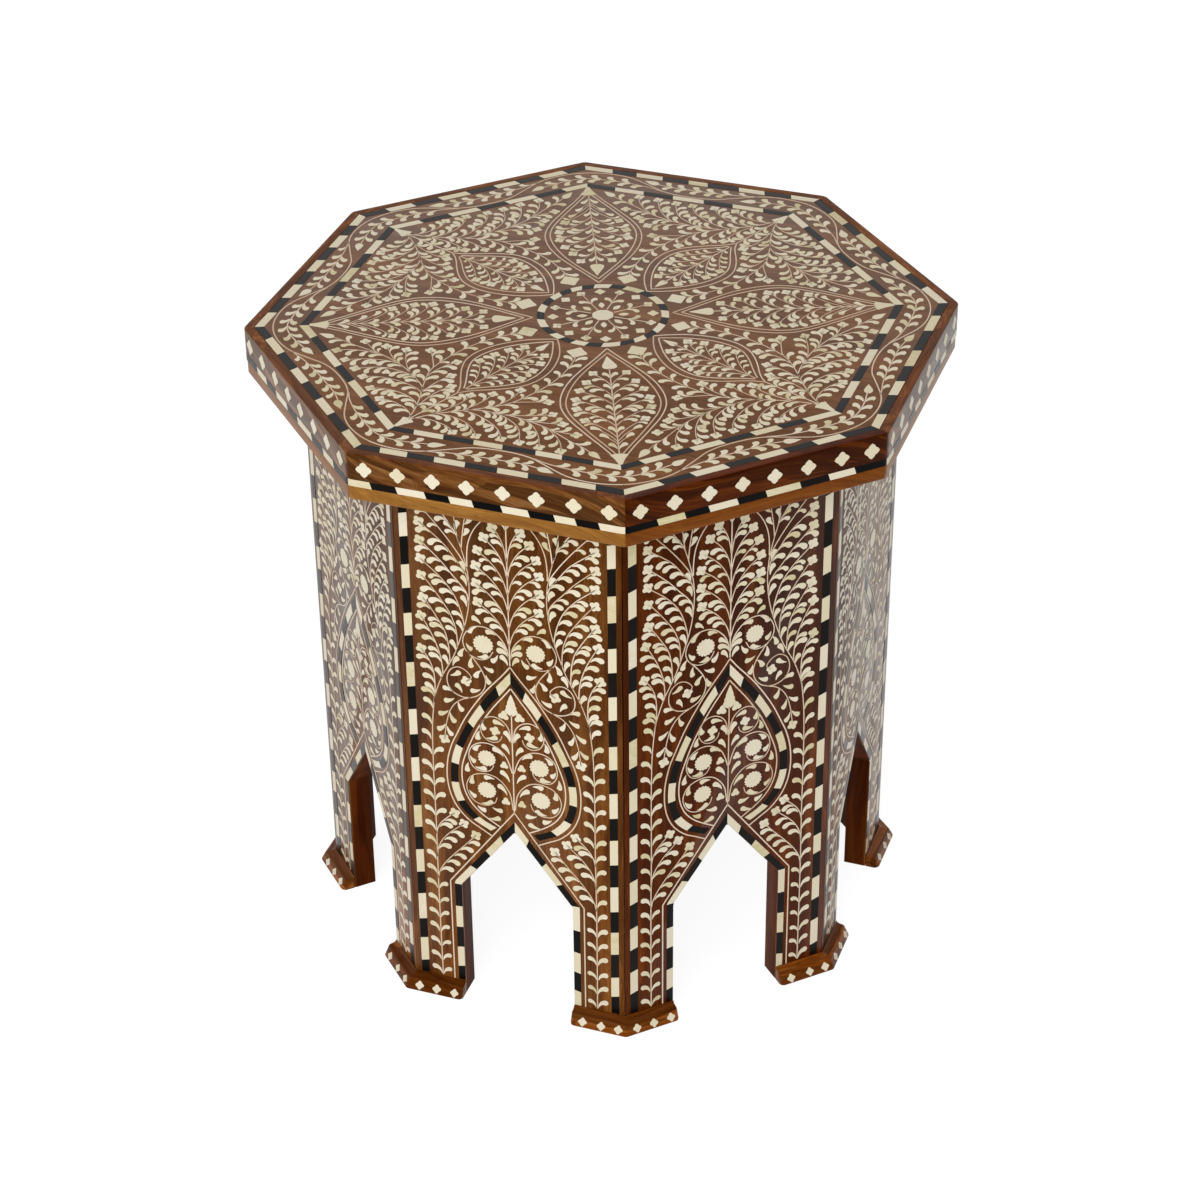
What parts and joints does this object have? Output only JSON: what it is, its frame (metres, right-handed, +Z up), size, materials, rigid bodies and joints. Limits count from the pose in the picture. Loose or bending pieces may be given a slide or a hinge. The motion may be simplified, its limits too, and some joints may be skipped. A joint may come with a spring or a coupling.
{
  "type": "octagonal inlaid stool",
  "caption": "Octagonal inlaid stool or side table: an overhanging flat top on a panelled hollow base with pointed arches, corner legs and moulded feet.",
  "frame": {"origin": "on the floor, under the middle of the top", "axes": "+Z up along the table's axis, with one flat side of the octagon facing -Y and one facing +X"},
  "size_m": [0.45, 0.45, 0.457],
  "materials": {
    "top_wood": "clear gloss lacquer over dark rosewood, with bone and ebony inlay",
    "panel_wood": "clear gloss lacquer over red-brown rosewood, with bone and ebony inlay",
    "edge_wood": "satin lacquer, dark streaked grain, with bone diamonds",
    "apron_wood": "satin lacquer, paler orange-brown grain",
    "hidden_wood": "sawn and unfinished",
    "bone": "polished cream bone",
    "ebony": "polished black",
    "steel": "plain bright wood screws"
  },
  "bodies": {
    "root": {"top_board": "top_wood", "outer_top_stringing": "bone", "inner_top_stringing": "bone", "centre_ring_stringing": "ebony", "edge_lipping_1": "edge_wood", "edge_lipping_2": "edge_wood", "edge_lipping_3": "edge_wood", "edge_lipping_4": "edge_wood", "edge_lipping_5": "edge_wood", "edge_lipping_6": "edge_wood", "edge_lipping_7": "edge_wood", "edge_lipping_8": "edge_wood", "apron_moulding_1": "apron_wood", "apron_moulding_2": "apron_wood", "apron_moulding_3": "apron_wood", "apron_moulding_4": "apron_wood", "apron_moulding_5": "apron_wood", "apron_moulding_6": "apron_wood", "apron_moulding_7": "apron_wood", "apron_moulding_8": "apron_wood", "side_panel_1": "panel_wood", "side_panel_2": "panel_wood", "side_panel_3": "panel_wood", "side_panel_4": "panel_wood", "side_panel_5": "panel_wood", "side_panel_6": "panel_wood", "side_panel_7": "panel_wood", "side_panel_8": "panel_wood", "foot_moulding_1": "edge_wood", "foot_moulding_2": "edge_wood", "foot_moulding_3": "edge_wood", "foot_moulding_4": "edge_wood", "foot_moulding_5": "edge_wood", "foot_moulding_6": "edge_wood", "foot_moulding_7": "edge_wood", "foot_moulding_8": "edge_wood", "corner_block_1": "hidden_wood", "corner_block_2": "hidden_wood", "corner_block_3": "hidden_wood", "corner_block_4": "hidden_wood", "corner_block_5": "hidden_wood", "corner_block_6": "hidden_wood", "corner_block_7": "hidden_wood", "corner_block_8": "hidden_wood", "top_cleat_1": "hidden_wood", "top_cleat_2": "hidden_wood", "top_cleat_3": "hidden_wood", "top_cleat_4": "hidden_wood", "top_cleat_5": "hidden_wood", "top_cleat_6": "hidden_wood", "top_cleat_7": "hidden_wood", "top_cleat_8": "hidden_wood", "top_screw_1": "steel", "top_screw_2": "steel", "top_screw_3": "steel", "top_screw_4": "steel", "top_screw_5": "steel", "top_screw_6": "steel", "top_screw_7": "steel", "top_screw_8": "steel"}
  },
  "joints": []
}
